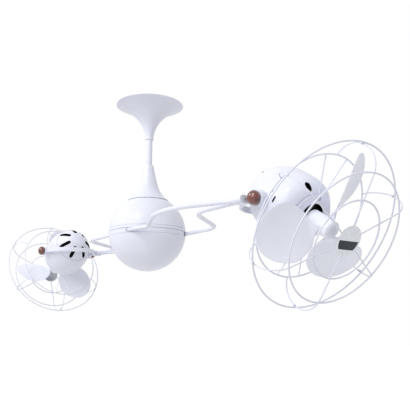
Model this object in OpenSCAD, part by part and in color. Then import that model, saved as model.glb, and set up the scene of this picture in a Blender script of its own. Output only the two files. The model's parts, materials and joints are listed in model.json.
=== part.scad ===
// Ceiling fan with two caged fan heads on a turning carousel.
// Millimetres, +Z up. The origin is where the middle of the ceiling bracket meets the ceiling.
// The two arms lie along +X and -X, and the left one is the right one turned by half a turn.
// Each head is drawn about its own axis: z runs out of its front, x along its pivots,
// with the arm-side pivot at -x, and its angles count from +x towards +y.

/* [Hanging] */
// Distance from the ceiling down to the middle of the ball
ball_drop = 342; // [335:1:600]
// Outer radius of the hanging rod
rod_r = 8.25; // [7:0.25:9]
// Wall of the hanging rod
rod_wall = 2; // [1.5:0.25:3]
// Length of the canopy from the ceiling to its neck
canopy_len = 87.5; // [80:0.5:110]
// Radius of the canopy at the ceiling
canopy_rim_r = 88; // [80:1:110]
// Outer radius of the canopy's neck
canopy_neck_r = 10.5; // [10.5:0.25:14]
// Wall of the canopy and of the bell cover
cover_wall = 1.3; // [1:0.1:1.6]
// Length of the bell cover
bell_len = 93.5; // [90:0.5:110]
// Radius of the bell cover's top
bell_top_r = 11.8; // [11.6:0.1:14]
// Radius of the bell cover's rim
bell_rim_r = 52; // [45:1:58]
// Gap between the bell cover's rim and the ball
bell_gap = 2.6; // [1.5:0.1:6]
// Radius of the hanger ball
hanger_ball_r = 16; // [15:0.5:17]
// Depth of the hanger ball's middle under the ceiling
hanger_ball_drop = 20; // [20:0.5:22]

/* [Ceiling bracket] */
// Distance between the two ceiling screws
screw_spacing = 88.9; // [80:0.1:100]
// Radius of the two screw holes
screw_hole_r = 2.6; // [2:0.1:3]
// Thickness of the bracket's strip
bracket_t = 2.5; // [2:0.1:3]
// Width of the bracket's strip
bracket_w = 26; // [22:1:30]

/* [Ball and hub] */
// Outer radius of the ball
ball_r = 97; // [95:1:102]
// Wall of the ball's two shells
ball_wall = 1.6; // [1.2:0.1:2.5]
// Height of the hub's band above the ball's middle
band_up = 8.7; // [8:0.1:12]
// Depth of the hub's band below the ball's middle
band_down = 10.5; // [10.2:0.1:14]
// Radius of the fixed axle
axle_r = 10; // [9:0.5:10.5]
// Bore radius of the fixed axle, which the wires run through
axle_bore_r = 5; // [4:0.5:6]
// Outer radius of the two ball bearings
bearing_r = 23.5; // [22:0.5:25]
// Width of a ball bearing
bearing_w = 14; // [12:0.5:15]

/* [Arms] */
// Distance from the ball's middle to a head's pivot
pivot_reach = 505; // [480:1:600]
// Depth of the arms and pivots below the ball's middle
arm_drop = 4; // [4:0.25:4.5]
// Outer radius of the arm tubes
tube_r = 4.75; // [4:0.25:5]
// Wall of the arm tubes
tube_wall = 1.2; // [1:0.1:1.5]
// Half the width of the yoke, from its middle to the middle of its strap
yoke_half_w = 76; // [76:0.5:84]
// Distance from the pivot to the middle of the yoke's bow
yoke_depth = 97; // [96:0.5:110]
// Thickness of the yoke's strap
yoke_t = 4; // [3:0.25:5]
// Height of the yoke's strap
yoke_h = 13; // [10:0.5:16]

/* [Pivots and knobs] */
// Radius of the pivot studs
stud_r = 4; // [3:0.25:5]
// Radius of the yoke's boss on the arm side
arm_boss_r = 16; // [14:0.5:17]
// Radius of the yoke's boss on the free side
free_boss_r = 12.5; // [11:0.5:14]
// Largest radius of a clamp knob
knob_r = 13.5; // [11:0.5:14]
// Length of a clamp knob
knob_len = 17; // [15:0.5:22]

/* [Heads] */
// Angle of the right head's axis below the horizontal
right_tilt = 32.5; // [0:0.5:60]
// Angle of the left head's axis below the horizontal
left_tilt = 23.5; // [0:0.5:60]
// Largest radius of the motor housing
housing_r = 65; // [63:0.5:66]
// Distance from the pivot axis back to the rear end of the housing
housing_back = 89; // [86:0.5:89]
// Distance from the pivot axis to the housing's front
housing_front = 63; // [62.5:0.5:64]
// Wall of the housing
housing_wall = 2; // [1.5:0.25:3]
// Distance from the pivot axis back to the joint of the vent cap
cap_joint = 49; // [47:0.5:50]
// Number of slots in the vent cap
vent_count = 7; // [5:1:9]
// Width of a vent slot
vent_w = 11; // [4:0.5:12]

/* [Guards] */
// Radius of the guard's largest ring
rim_ring_r = 155; // [152:1:175]
// Distance from the pivot axis to the largest ring
rim_ring_s = 107.5; // [106:0.5:112]
// Radius of the guard's front ring and rear ring
side_ring_r = 118; // [110:0.5:125]
// Radius of the small front ring
small_ring_r = 71; // [50:1:95]
// Distance from the pivot axis to the rear ring
rear_ring_s = 64; // [64:0.5:66]
// Number of bent wires that run from the rear ring to the badge
rib_count = 6; // [4:1:10]
// Thickness of a ring's wire
ring_wire = 3; // [2:0.1:4]
// Thickness of a bent wire
rib_wire = 2.5; // [2:0.1:3]
// Radius of the badge
badge_r = 27.5; // [22:0.5:40]

/* [Blades] */
// Number of blades is three on each head; this is the radius of their tips
blade_tip_r = 138; // [125:0.5:142]
// Half the width of a blade at its widest
blade_half_w = 50; // [35:0.5:52]
// Thickness of a blade
blade_t = 2; // [1.5:0.1:3]
// Pitch of a blade
blade_pitch = 28; // [15:0.5:32]
// Distance from the pivot axis to the blades' roots
blade_s = 104; // [100:0.5:108]
// Radius of the hub that carries the blades
hub_r = 17; // [16.5:0.5:20]
// Angle of the first blade on the right head
right_blade_phase = 194; // [0:1:359]
// Angle of the first blade on the left head
left_blade_phase = 223; // [0:1:359]

/* [Hidden] */
$fn = 64;
// clearances
fit_gap = 0.05;
rest_gap = 0.3;

// hanging
ball_z = -ball_drop;
pin_r = 3;
pin_len = 27;
socket_t = 4;
socket_z = -hanger_ball_drop - 11;
rod_top = -hanger_ball_drop + 12;
collar_h = 7;
collar_r = canopy_neck_r + 0.4;
set_screw_r = 2;
set_screw_len = 3;
bell_rim_z = ball_z + sqrt(ball_r * ball_r - bell_rim_r * bell_rim_r) + bell_gap;
bell_top_z = bell_rim_z + bell_len;
bell_neck_h = 7;
coupler_top = bell_top_z - bell_neck_h - 1;
coupler_r = 11;
coupler_foot_r = 15;
coupler_socket = 28;
coupler_len = 52;
rod_end = coupler_top - coupler_socket + 1;
pin_drop = 14;
axle_top = coupler_top - coupler_socket - 4;
axle_end = ball_z - 40;

// hub and ball
bearing_gap = 30;
upper_bearing_z = ball_z + 20;
lower_bearing_z = upper_bearing_z - bearing_gap - bearing_w;
race_wall = 4;
sleeve_wall = 5.5;
sleeve_r = bearing_r + sleeve_wall;
band_inner_r = ball_r - 19;
groove_w = 1.2;
groove_depth = 2;
groove_up = 1;
web_t = 5;
web_hole_count = 6;
web_hole_r = 13;
web_hole_pcd_r = 54;
ball_top_open_r = 30;
drum_r = 18;
drum_h = 24;
drum_z = upper_bearing_z + bearing_w + 2;
drum_grooves = 3;
nut_r = 16;
nut_h = 10;
grommet_r = 6;

// arms: each route is a start, a heading and then runs and bends in turn
arm_z = ball_z - arm_drop;
bow_r = yoke_half_w;
bow_x = pivot_reach - (yoke_depth - yoke_half_w);
lug_end = pivot_reach - 17;
lug_len = 24;
lug_socket = 7;
lug_r = 7.5;
inner_end_y = -84.6;
outer_end_y = -95.7;
inner_start = [45, 71];
inner_turn = 51;
inner_bend_1 = 78;
inner_bend_2 = 107;
inner_run_1 = 115;
inner_drop = inner_start[1] - inner_end_y;
inner_run_2 = (inner_drop - (inner_bend_1 + inner_bend_2) * (1 - cos(inner_turn))) / sin(inner_turn);
inner_bend_end = inner_start[0] + inner_run_1 + (inner_bend_1 + inner_bend_2) * sin(inner_turn)
    + inner_run_2 * cos(inner_turn);
tube_end = lug_end - lug_socket;
inner_run_3 = tube_end - inner_bend_end;
outer_start = [14, -86];
outer_heading = 9;
outer_dive = 27;
outer_rise = 24;
outer_run_1 = 98;
outer_bend_1 = 25;
outer_bend_2 = 190;
outer_bend_3 = 60;
outer_run_4 = 7.7;
outer_bends_x = outer_bend_1 * (sin(outer_heading) + sin(outer_dive))
    + outer_bend_2 * (sin(outer_dive) + sin(outer_rise)) + outer_bend_3 * sin(outer_rise);
outer_bends_y = outer_bend_1 * (cos(outer_dive) - cos(outer_heading))
    + outer_bend_2 * (cos(outer_dive) - cos(outer_rise)) + outer_bend_3 * (1 - cos(outer_rise));
outer_bend_end = tube_end - outer_run_4;
outer_left_x = outer_bend_end - outer_start[0] - outer_run_1 * cos(outer_heading) - outer_bends_x;
outer_left_y = outer_end_y - outer_start[1] - outer_run_1 * sin(outer_heading) - outer_bends_y;
// the dive and the rise share what is left of the way to the yoke
outer_run_2 = (outer_left_x * sin(outer_rise) - outer_left_y * cos(outer_rise)) / sin(outer_dive + outer_rise);
outer_run_3 = (outer_left_x * sin(outer_dive) + outer_left_y * cos(outer_dive)) / sin(outer_dive + outer_rise);
lug_bend_len = max(0, outer_bend_end - (lug_end - lug_len));
lug_relief = outer_bend_3 - sqrt(pow(outer_bend_3, 2) - pow(lug_bend_len, 2)) + rest_gap;
inner_route = [["run", inner_run_1], ["bend", inner_bend_1, -inner_turn], ["run", inner_run_2],
    ["bend", inner_bend_2, inner_turn], ["run", inner_run_3]];
outer_route = [["run", outer_run_1], ["bend", outer_bend_1, -outer_heading - outer_dive],
    ["run", outer_run_2], ["bend", outer_bend_2, outer_dive + outer_rise], ["run", outer_run_3],
    ["bend", outer_bend_3, -outer_rise], ["run", outer_run_4]];
joint_gap = 0.1;
joint_lip = 0.08;
joint_len = 1;
inner_grommet = [14, 26];
outer_grommet = [30, 46];

// pivots
boss_in = yoke_half_w - yoke_t / 2 - 4;
boss_out = yoke_half_w + yoke_t / 2 + 2;
shell_boss_r = 11;
shell_boss_in = housing_r - 4;
flange_r = 8;
flange_t = 3;
knob_socket = 12;

// housing
housing_mid = 5;
nose_power = 5;
nose_root = 0.385;
nose_r = 26.5;
cap_step = 0.5;
cap_lip = 7;
vent_in = 25;
vent_out = 53;
vent_phase = 35;
port_count = 3;
port_phase = 113;
port_len = 19;
port_w = 10;
bolt_count = 4;
bolt_pcd_r = 44;
bolt_r = 2;
post_r = 5.5;
core_front = 14;
core_back = -20;
core_in_r = 30;
core_out_r = 51;
web_s = 40;
web_plate_t = 4;
bush_r = 9;
shaft_r = 5;
shaft_back = -66;

// guards
plate_r = 43;
plate_t = 2;
plate_s = 61.7;
weld = 0.5;
wire_step = (ring_wire + rib_wire) / 2 - weld;
rib_out_r = rim_ring_r - wire_step;
rib_in_r = side_ring_r + wire_step;
rear_half_s = rim_ring_s - rear_ring_s;
front_half_s = rear_half_s - 0.8;
front_wire_s = rim_ring_s + front_half_s;
front_ring_s = front_wire_s + wire_step;
badge_t = 3;
badge_s = front_ring_s + 3;
rib_phase = 30;
spoke_spread = 13;
spoke_lean = 6;
ferrule_len = 5;
ferrule_wall = 0.8;
bead_r = rib_wire / 2 + 0.3;
guard_screw_count = 3;
guard_screw_pcd_r = 36;

// blades and hub
hub_back = 66;
hub_front = 122;
shaft_front = 112;
blade_wide_r = 77;
blade_root_r = 23;
blade_root_w = 13;
blade_camber_r = 170;
blade_rake = 6;
blade_stub_r = 5.5;
blade_steps = 14;

white = "#eceef4";
steel = "#b8bcc2";
black = "#1b1b1d";
wood = "#7b3427";
chrome = "#c9ccd2";
copper = "#b87346";

// A rod along z between two heights.
module rod(r, z0, z1) {
    translate([0, 0, z0]) cylinder(r = r, h = z1 - z0);
}

// A tube along z between two heights.
module pipe(r_out, r_in, z0, z1) {
    difference() {
        rod(r_out, z0, z1);
        rod(r_in, z0 - 1, z1 + 1);
    }
}

// A cylinder along x between two places, at the origin's y and z.
module cross_rod(r, x0, x1) {
    translate([x0, 0, 0]) rotate([0, 90, 0]) cylinder(r = r, h = x1 - x0);
}

// A ring of round wire about z.
module wire_ring(r, s, wire) {
    translate([0, 0, s]) rotate_extrude() translate([r, 0]) circle(d = wire, $fn = 24);
}

// ---- hanging ----

module ceiling_bracket() {
    leg_x = 27;
    color(steel) difference() {
        union() {
            translate([-screw_spacing / 2 - 7, -bracket_w / 2, -bracket_t])
                cube([screw_spacing + 14, bracket_w, bracket_t]);
            for (x = [-leg_x, leg_x - bracket_t])
                translate([x, -bracket_w / 2, socket_z]) cube([bracket_t, bracket_w, -socket_z - 1]);
            translate([-leg_x, -bracket_w / 2, socket_z]) cube([2 * leg_x, bracket_w, socket_t]);
        }
        for (x = [-1, 1]) translate([x * screw_spacing / 2, 0, 0]) rod(screw_hole_r, -bracket_t - 1, 1);
        translate([0, 0, -hanger_ball_drop]) sphere(r = hanger_ball_r + rest_gap);
    }
}

module hanger_ball() {
    color(black) difference() {
        translate([0, 0, -hanger_ball_drop]) sphere(r = hanger_ball_r);
        rod(rod_r + fit_gap, -hanger_ball_drop - hanger_ball_r - 1, 0);
        translate([0, 0, -hanger_ball_drop]) cross_rod(pin_r + fit_gap, -20, 20);
        translate([0, 0, -4]) cylinder(r = hanger_ball_r, h = 6);
    }
}

module pin_places() {
    translate([0, 0, -hanger_ball_drop]) children();
    translate([0, 0, coupler_top - pin_drop]) children();
}

module cross_pins() {
    color(steel) pin_places() cross_rod(pin_r, -pin_len / 2, pin_len / 2);
}

// Radius of the canopy at a depth under the ceiling.
function canopy_r(depth) = let (t = max(0, 1 - depth / canopy_len))
    canopy_neck_r + (canopy_rim_r - canopy_neck_r) * pow(t, 1.65 + t);

module canopy() {
    steps = 16;
    outer = [for (i = [0:steps]) let (d = canopy_len * i / steps) [canopy_r(d), -d]];
    inner = [for (i = [steps:-1:0]) let (d = canopy_len * i / steps)
        [canopy_r(d + cover_wall) - cover_wall, -d]];
    color(white) rotate_extrude(convexity = 4) polygon(concat(outer, inner));
}

module canopy_collar() {
    color(white) difference() {
        pipe(collar_r, rod_r + fit_gap, -canopy_len - collar_h, -canopy_len);
        set_screw_places() cross_rod(set_screw_r + fit_gap, 0, 20);
    }
}

// Both set screws point at the rod from behind, the side away from the arms' outer tubes.
module set_screw_places() {
    for (z = [-canopy_len - collar_h / 2, bell_top_z - bell_neck_h / 2])
        translate([0, 0, z]) rotate([0, 0, 90]) children();
}

module set_screws() {
    color(steel) set_screw_places()
        cross_rod(set_screw_r, rod_r + fit_gap, rod_r + fit_gap + set_screw_len);
}

module downrod() {
    color(white) difference() {
        pipe(rod_r, rod_r - rod_wall, rod_end, rod_top);
        pin_places() cross_rod(pin_r + fit_gap, -20, 20);
    }
}

module coupler() {
    color(steel) difference() {
        union() {
            rod(coupler_r, coupler_top - coupler_len, coupler_top);
            rod(coupler_foot_r, coupler_top - coupler_len, coupler_top - coupler_socket);
        }
        rod(rod_r + fit_gap, coupler_top - coupler_socket, coupler_top + 1);
        rod(axle_bore_r, coupler_top - coupler_len - 1, coupler_top);
        rod(axle_r + fit_gap, coupler_top - coupler_len - 1, axle_top);
        translate([0, 0, coupler_top - pin_drop]) cross_rod(pin_r + fit_gap, -20, 20);
    }
}

// Radius of the bell cover at a depth under its top.
function bell_r(depth) = let (t = min(1, depth / bell_len))
    bell_top_r + (bell_rim_r - bell_top_r) * (t + pow(t, 5)) / 2;

module bell_cover() {
    steps = 16;
    outer = [for (i = [0:steps]) let (d = bell_len * i / steps) [bell_r(d), bell_top_z - d]];
    inner = [for (i = [steps:-1:0]) let (d = bell_neck_h + (bell_len - bell_neck_h) * i / steps)
        [bell_r(d - cover_wall) - cover_wall, bell_top_z - d]];
    neck = [for (d = [bell_neck_h, 0]) [rod_r + 0.25, bell_top_z - d]];
    color(white) difference() {
        rotate_extrude(convexity = 4) polygon(concat(outer, inner, neck));
        set_screw_places() cross_rod(set_screw_r + fit_gap, 0, 20);
    }
}

// ---- fixed axle ----

module main_axle() {
    color(steel) pipe(axle_r, axle_bore_r, axle_end, axle_top);
}

module axle_nut() {
    color(steel) difference() {
        translate([0, 0, lower_bearing_z - rest_gap - nut_h]) cylinder(r = nut_r, h = nut_h, $fn = 6);
        rod(axle_r + fit_gap, axle_end - 1, lower_bearing_z);
    }
}

module collector_drum() {
    ring_h = 4;
    color(copper) difference() {
        pipe(drum_r, axle_r + fit_gap, drum_z, drum_z + drum_h);
        for (i = [0:drum_grooves - 1]) let (z = drum_z + drum_h * (i + 0.5) / drum_grooves)
            pipe(drum_r + 1, drum_r - 1, z - ring_h / 2, z + ring_h / 2);
    }
}

module bearing_races() {
    color(steel) for (z = [lower_bearing_z, upper_bearing_z])
        pipe(axle_r + race_wall, axle_r + fit_gap, z, z + bearing_w);
}

// ---- carousel ----

module upper_shell() {
    color(white) translate([0, 0, ball_z]) difference() {
        sphere(r = ball_r, $fn = 128);
        sphere(r = ball_r - ball_wall, $fn = 128);
        rod(ball_r + 1, -ball_r - 1, band_up);
        rod(ball_top_open_r, 0, ball_r + 1);
    }
}

module lower_shell() {
    color(white) translate([0, 0, ball_z]) difference() {
        sphere(r = ball_r, $fn = 128);
        sphere(r = ball_r - ball_wall, $fn = 128);
        rod(ball_r + 1, -band_down, ball_r + 1);
    }
}

module hub_casting() {
    color(white) difference() {
        union() {
            translate([0, 0, ball_z]) pipe(ball_r - 0.4, band_inner_r, -band_down, band_up);
            rod(sleeve_r, lower_bearing_z, upper_bearing_z + bearing_w);
            rod(band_inner_r + 2, arm_z - web_t / 2, arm_z + web_t / 2);
        }
        rod(bearing_r + fit_gap, lower_bearing_z - 1, lower_bearing_z + bearing_w);
        rod(bearing_r + fit_gap, upper_bearing_z, upper_bearing_z + bearing_w + 1);
        rod(bearing_r - 3, lower_bearing_z, upper_bearing_z + 1);
        translate([0, 0, ball_z + groove_up])
            pipe(ball_r + 1, ball_r - groove_depth, -groove_w / 2, groove_w / 2);
        for (i = [0:web_hole_count - 1]) rotate([0, 0, i * 360 / web_hole_count])
            translate([web_hole_pcd_r, 0, 0]) rod(web_hole_r, arm_z - web_t, arm_z + web_t);
        for (turn = [0, 180]) rotate([0, 0, turn]) {
            tube_socket(inner_start, 0, inner_grommet);
            tube_socket(outer_start, outer_heading, outer_grommet);
        }
    }
}

// The hole for one arm tube, with the wider seat of its grommet.
module tube_socket(start, heading, seat) {
    translate([start[0], start[1], arm_z]) rotate([0, 0, heading]) {
        cross_rod(tube_r + fit_gap, 0, ball_r);
        cross_rod(grommet_r + fit_gap, seat[0], ball_r);
    }
}

module bearings() {
    color(steel) for (z = [lower_bearing_z, upper_bearing_z])
        pipe(bearing_r, axle_r + race_wall + rest_gap, z, z + bearing_w);
}

module brush_block() {
    color(black) translate([drum_r + rest_gap, -8, upper_bearing_z + bearing_w])
        cube([15, 16, drum_h + 4]);
}

module tube_grommets() {
    color(black) for (turn = [0, 180]) rotate([0, 0, turn]) {
        grommet(inner_start, 0, inner_grommet);
        grommet(outer_start, outer_heading, outer_grommet);
    }
}

module grommet(start, heading, seat) {
    translate([start[0], start[1], arm_z]) rotate([0, 0, heading]) difference() {
        cross_rod(grommet_r, seat[0], seat[1]);
        cross_rod(tube_r + fit_gap, seat[0] - 1, seat[1] + 1);
    }
}

// A bent rod in the plane z = 0: it lays the first item of its route and goes on from its end.
// Each joint of two items lies hidden in a collar a hair wider than the rod.
module bent_rod(r, route, over = 0, i = 0) {
    if (i < len(route)) {
        first_gap = i == 0 ? -over : joint_gap;
        last_gap = i == len(route) - 1 ? -over : joint_gap;
        if (i > 0) cross_rod(r + joint_lip, -joint_len / 2, joint_len / 2);
        if (route[i][0] == "run") {
            cross_rod(r, first_gap, route[i][1] - last_gap);
            translate([route[i][1], 0, 0]) bent_rod(r, route, over, i + 1);
        } else {
            bend_r = route[i][1];
            bend_deg = route[i][2];
            gap_deg = joint_gap / bend_r * 180 / PI;
            side = sign(bend_deg);
            translate([0, side * bend_r, 0])
                rotate([0, 0, gap_deg + (side > 0 ? -90 : 90 + bend_deg)])
                rotate_extrude(angle = abs(bend_deg) - 2 * gap_deg)
                translate([bend_r, 0]) circle(r = r);
            translate([bend_r * sin(abs(bend_deg)), side * bend_r * (1 - cos(bend_deg)), 0])
                rotate([0, 0, bend_deg]) bent_rod(r, route, over, i + 1);
        }
    }
}

module bent_tube(route) {
    difference() {
        bent_rod(tube_r, route);
        bent_rod(tube_r - tube_wall, route, 1);
    }
}

// Places one side's arm: 0 for the right one, 180 for the left one.
module arm_side(turn) {
    translate([0, 0, arm_z]) rotate([0, 0, turn]) children();
}

module outer_tube(turn) {
    color(white) arm_side(turn) translate([outer_start[0], outer_start[1], 0])
        rotate([0, 0, outer_heading]) bent_tube(outer_route);
}

module inner_tube(turn) {
    color(white) arm_side(turn) translate([inner_start[0], inner_start[1], 0]) bent_tube(inner_route);
}

module yoke(turn) {
    color(white) arm_side(turn) difference() {
        union() {
            translate([bow_x, 0, 0]) rotate([0, 0, 90]) rotate_extrude(angle = 180)
                translate([bow_r - yoke_t / 2, -yoke_h / 2]) square([yoke_t, yoke_h]);
            for (side = [-1, 1])
                translate([bow_x, side * yoke_half_w - yoke_t / 2, -yoke_h / 2])
                    cube([pivot_reach - bow_x, yoke_t, yoke_h]);
            translate([pivot_reach, 0, 0]) rotate([0, 0, 90]) {
                cross_rod(free_boss_r, boss_in, boss_out);
                cross_rod(arm_boss_r, -boss_out, -boss_in);
            }
            for (y = [inner_end_y, outer_end_y])
                translate([0, y, 0]) cross_rod(lug_r, lug_end - lug_len, lug_end);
            translate([lug_end - lug_len, outer_end_y, -lug_r])
                cube([lug_len, -yoke_half_w - outer_end_y, 2 * lug_r]);
        }
        translate([pivot_reach, 0, 0]) rotate([0, 0, 90])
            cross_rod(stud_r + fit_gap, -boss_out - 5, boss_out + 5);
        for (y = [inner_end_y, outer_end_y])
            translate([0, y, 0]) cross_rod(tube_r + fit_gap, lug_end - lug_len - 1, tube_end + 0.2);
        // room for the last of the outer tube's bend, which reaches into its lug
        translate([0, outer_end_y, 0])
            cross_rod(tube_r + lug_relief, lug_end - lug_len - 1, outer_bend_end + joint_len);
    }
}

// ---- heads ----

// Places one head: turn is 0 for the right one and 180 for the left one.
module head_place(turn, tilt) {
    translate([0, 0, arm_z]) rotate([0, 0, turn]) translate([pivot_reach, 0, 0])
        rotate([90 + tilt, 0, 90]) children();
}

module right_head() {
    head_place(0, right_tilt) children();
}

module left_head() {
    head_place(180, left_tilt) children();
}

module knob(side) {
    base = boss_out + rest_gap;
    neck_r = 8;
    outline = [[0, 0], [neck_r, 0], [neck_r + 1, 1.2], [knob_r - 1.6, 1.8], [knob_r - 0.4, 3.2],
        for (a = [0:10:80]) [knob_r * cos(a), 6 + (knob_len - 6) * sin(a)], [0, knob_len]];
    color(wood) rotate([0, side * 90, 0]) translate([0, 0, base]) difference() {
        rotate_extrude() polygon(outline);
        rod(stud_r + fit_gap, -1, knob_socket);
    }
}

// Radius of the housing at a place along its axis, for a given reach back, width and reach forward.
function housing_profile(s, back, wide, front) = s < -housing_mid
    ? wide * sqrt(max(0, 1 - pow((s + housing_mid) / (back - housing_mid), 2)))
    : wide * pow(max(0, 1 - pow((s + housing_mid) / (front + housing_mid), nose_power)), nose_root);

// A solid of revolution with the housing's outline between two places, made smaller by inset.
module housing_solid(s0, s1, inset) {
    steps = 26;
    a = max(s0, -housing_back + inset);
    b = min(s1, housing_front - inset);
    points = [for (i = [0:steps]) let (s = a + (b - a) * sin(90 * i / steps))
        [housing_profile(s, housing_back - inset, housing_r - inset, housing_front - inset), s]];
    rotate_extrude() polygon(concat([[0, a]], points, [[0, b]]));
}

// The same outline for the rear end, with its steps crowded at the pole.
module cap_solid(inset) {
    steps = 12;
    back = housing_back - inset;
    a_end = acos((cap_joint - housing_mid) / (back - housing_mid));
    points = [for (i = [1:steps]) let (a = a_end * i / steps)
        [(housing_r - inset) * sin(a), -housing_mid - (back - housing_mid) * cos(a)]];
    rotate_extrude() polygon(concat([[0, -back]], points, [[0, -cap_joint]]));
}

module bolt_places(count, r, phase = 45) {
    for (i = [0:count - 1]) rotate([0, 0, phase + i * 360 / count]) translate([r, 0, 0]) children();
}

module motor_shell() {
    color(white) difference() {
        union() {
            difference() {
                housing_solid(-cap_joint, housing_front, 0);
                housing_solid(-cap_joint - 1, housing_front, housing_wall);
            }
            intersection() {
                union() {
                    bolt_places(bolt_count, bolt_pcd_r) rod(post_r, core_front + rest_gap, housing_front);
                    rod(bolt_pcd_r, web_s, web_s + web_plate_t);
                    rod(bush_r + 3, web_s, web_s + 12);
                }
                housing_solid(-cap_joint, housing_front, housing_wall / 2);
            }
            for (side = [-1, 1]) rotate([0, side * 90, 0])
                rod(shell_boss_r, shell_boss_in, boss_in - rest_gap);
        }
        for (side = [-1, 1]) rotate([0, side * 90, 0]) rod(stud_r + fit_gap, shell_boss_in - 1, boss_in);
        rod(nose_r, web_s + 13, housing_front + 1);
        rod(shaft_r + fit_gap, web_s - 1, web_s + 14);
        bolt_places(bolt_count, bolt_pcd_r) rod(bolt_r + fit_gap, core_front, web_s + 12);
        bolt_places(guard_screw_count, guard_screw_pcd_r, 90)
            rod(bolt_r + fit_gap, web_s + 14, housing_front + 1);
        for (i = [0:port_count - 1]) rotate([0, 0, port_phase + i * 360 / port_count])
            translate([51, 0, 46]) rotate([0, 38, 0]) slot(port_w, port_len, 22);
    }
}

// A slot with round ends: its length runs along x and its depth along z, both about the middle.
module slot(wide, long, deep) {
    for (x = [-1, 1]) translate([x * (long - wide) / 2, 0, 0]) rod(wide / 2, -deep / 2, deep / 2);
    translate([(wide - long) / 2, -wide / 2, -deep / 2]) cube([long - wide, wide, deep]);
}

module vent_cap() {
    lip_r = housing_profile(-cap_joint, housing_back, housing_r, housing_front) - housing_wall - rest_gap;
    color(white) difference() {
        union() {
            difference() {
                cap_solid(cap_step);
                cap_solid(cap_step + housing_wall);
            }
            pipe(lip_r, lip_r - housing_wall, -cap_joint - 4, -cap_joint + cap_lip);
            intersection() {
                rod(bush_r, -housing_back, shaft_back + 14);
                cap_solid(cap_step + housing_wall / 2);
            }
        }
        rod(shaft_r + fit_gap, shaft_back - 1, 0);
        for (i = [0:vent_count - 1]) rotate([0, 0, vent_phase + i * 360 / vent_count])
            translate([(vent_in + vent_out) / 2, 0, -(housing_back + cap_joint) / 2])
                slot(vent_w, vent_out - vent_in, housing_back - cap_joint - 1);
    }
}

module motor_bolts() {
    color(steel) bolt_places(bolt_count, bolt_pcd_r) {
        rod(bolt_r, core_back - 1, web_s + 11);
        rod(3.5, core_back - rest_gap - 3, core_back - rest_gap);
    }
}

module stator() {
    coil_h = 10;
    color(copper) difference() {
        union() {
            pipe(core_out_r, core_in_r, core_back, core_front);
            pipe(bolt_pcd_r - 5.8, core_in_r + 2, core_back - coil_h, core_front + coil_h);
        }
        bolt_places(bolt_count, bolt_pcd_r) rod(bolt_r + 0.3, core_back - 1, core_front + 1);
    }
}

module pivot_studs() {
    color(steel) for (side = [-1, 1]) rotate([0, side * 90, 0]) {
        rod(stud_r, shell_boss_in - flange_t, boss_out + knob_socket - 1);
        rod(flange_r, shell_boss_in - rest_gap - flange_t, shell_boss_in - rest_gap);
    }
}

module rib_places() {
    for (i = [0:rib_count - 1]) rotate([0, 0, rib_phase + i * 360 / rib_count]) children();
}

// Angle that a bent wire turns through from the largest ring to a side ring that far away.
function rib_deg(half_s) = 2 * atan((rib_out_r - rib_in_r) / half_s);

// A bent wire from the largest ring to a side ring, in the plane of x and z, less its first degrees.
module rib_arc(half_s, front, skip_deg) {
    turn = rib_deg(half_s);
    arc_r = half_s / sin(turn);
    translate([rib_out_r - arc_r, 0, rim_ring_s]) rotate([90, 0, 0])
        rotate([0, 0, front ? skip_deg : -turn])
        rotate_extrude(angle = turn - skip_deg) translate([arc_r, 0]) circle(d = rib_wire, $fn = 24);
}

// A straight wire between two points in the plane of x and z.
module straight_wire(x0, z0, x1, z1) {
    translate([x0, 0, z0]) rotate([0, atan2(x1 - x0, z1 - z0), 0])
        cylinder(d = rib_wire, h = norm([x1 - x0, z1 - z0]), $fn = 24);
}

module rear_guard() {
    ferrule_deg = 2;
    color(white) {
        wire_ring(side_ring_r, rear_ring_s, ring_wire);
        rib_places() {
            rib_arc(rear_half_s, false, ferrule_deg);
            // a bead of weld joins each wire's end to the ring
            translate([rib_in_r - (wire_step - ring_wire / 2) / 2, 0, rear_ring_s])
                sphere(r = bead_r, $fn = 32);
        }
        for (middle = [90, -90], side = [-1, 1]) spoke(middle, side);
        difference() {
            pipe(plate_r, nose_r, plate_s, plate_s + plate_t);
            bolt_places(guard_screw_count, guard_screw_pcd_r, 90)
                rod(bolt_r + fit_gap, plate_s - 1, plate_s + plate_t + 1);
        }
    }
}

// One of the wires from the mounting plate to the rear ring.
module spoke(middle, side) {
    a0 = middle + side * spoke_lean;
    a1 = middle + side * spoke_spread;
    p0 = (plate_r - 2) * [cos(a0), sin(a0)];
    p1 = side_ring_r * [cos(a1), sin(a1)];
    d = p1 - p0;
    translate([p0[0], p0[1], rear_ring_s + 0.2]) rotate([0, 0, atan2(d[1], d[0])])
        rotate([0, 90, 0]) cylinder(d = rib_wire, h = norm(d), $fn = 24);
}

module guard_screws() {
    color(steel) bolt_places(guard_screw_count, guard_screw_pcd_r, 90) {
        rod(bolt_r, plate_s - 6, plate_s + plate_t + 1);
        rod(3.4, plate_s + plate_t, plate_s + plate_t + 2);
    }
}

module front_guard() {
    color(white) {
        wire_ring(rim_ring_r, rim_ring_s, ring_wire);
        wire_ring(side_ring_r, front_ring_s, ring_wire);
        wire_ring(small_ring_r, front_ring_s + 1.2, ring_wire);
        rib_places() {
            rib_arc(front_half_s, true, 0);
            straight_wire(rib_in_r, front_wire_s, badge_r - 5, badge_s - 1);
        }
        rod(badge_r - 3, badge_s - 2, badge_s);
    }
}

// Each ferrule stands half way across the bend that its wire makes inside it.
module guard_ferrules() {
    top = rim_ring_s - ring_wire / 2 - rest_gap;
    arc_r = rear_half_s / sin(rib_deg(rear_half_s));
    sway = (arc_r - sqrt(pow(arc_r, 2) - pow(rim_ring_s - top + ferrule_len, 2))) / 2;
    bore_r = rib_wire / 2 + sway + fit_gap;
    color(white) rib_places() translate([rib_out_r - sway, 0, 0])
        pipe(bore_r + ferrule_wall, bore_r, top - ferrule_len, top);
}

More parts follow.
